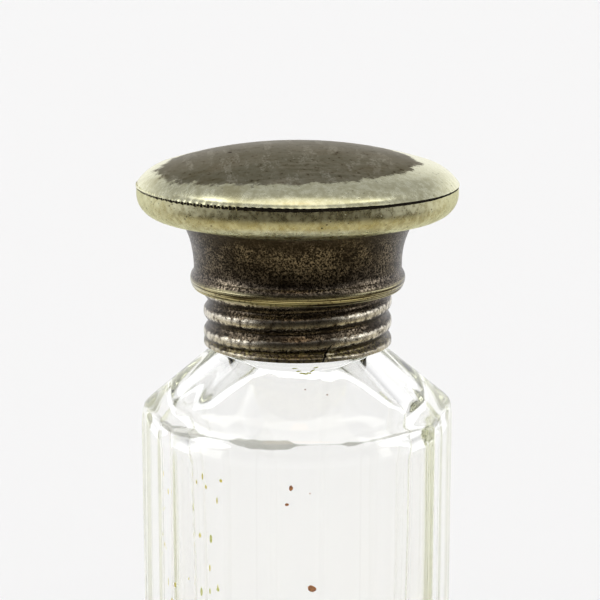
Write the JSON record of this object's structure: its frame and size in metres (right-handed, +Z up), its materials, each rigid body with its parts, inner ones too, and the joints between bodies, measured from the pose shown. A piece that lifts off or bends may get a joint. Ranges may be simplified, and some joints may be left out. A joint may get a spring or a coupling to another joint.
{
  "type": "dressing-table jar",
  "caption": "Faceted cut-glass jar with a threaded metal neck collar and a mushroom-shaped screw cap that seals on a cork liner.",
  "frame": {"origin": "centre of the foot, on the surface the jar stands on", "axes": "+Z up along the jar's axis, -Y towards the front, square to one wall facet"},
  "size_m": [0.0502, 0.0502, 0.1201],
  "materials": {
    "clear_glass": "clear cut glass, polished, faint olive tint in its edges",
    "neck_plaster": "matt fixing plaster",
    "collar_plate": "plated brass with dark tarnish, worn on the thread",
    "skirt_plate": "plated brass with dark speckled tarnish",
    "cap_plate": "worn pale plate, polished rim, grey-brown tarnish on the crown",
    "bare_brass": "bare brass, satin",
    "solder": "dull soft solder",
    "cork": "fine-grained cork"
  },
  "bodies": {
    "jar": {"glass_jar": "clear_glass", "neck_cement": "neck_plaster", "neck_collar": "collar_plate"},
    "liner": {"cork_liner": "cork"},
    "cap": {"thread_sleeve": "bare_brass", "mouth_ring": "bare_brass", "cap_skirt": "skirt_plate", "skirt_solder": "solder", "cap_pan": "cap_plate", "seam_solder": "solder", "cap_dome": "cap_plate"}
  },
  "joints": [
    {"name": "cap_rise", "type": "slide", "parent": "jar", "child": "liner", "axis": [0, 0, 1], "range_m": [0, 0.00991]},
    {"name": "cap_turn", "type": "hinge", "parent": "liner", "child": "cap", "pos_m": [0, 0, 0.098], "axis": [0, 0, 1], "range_deg": [0, 1080]}
  ],
  "couplings": [
    {"joint": "cap_rise", "follows": "cap_turn", "m_per_rad": 0.00052521}
  ]
}
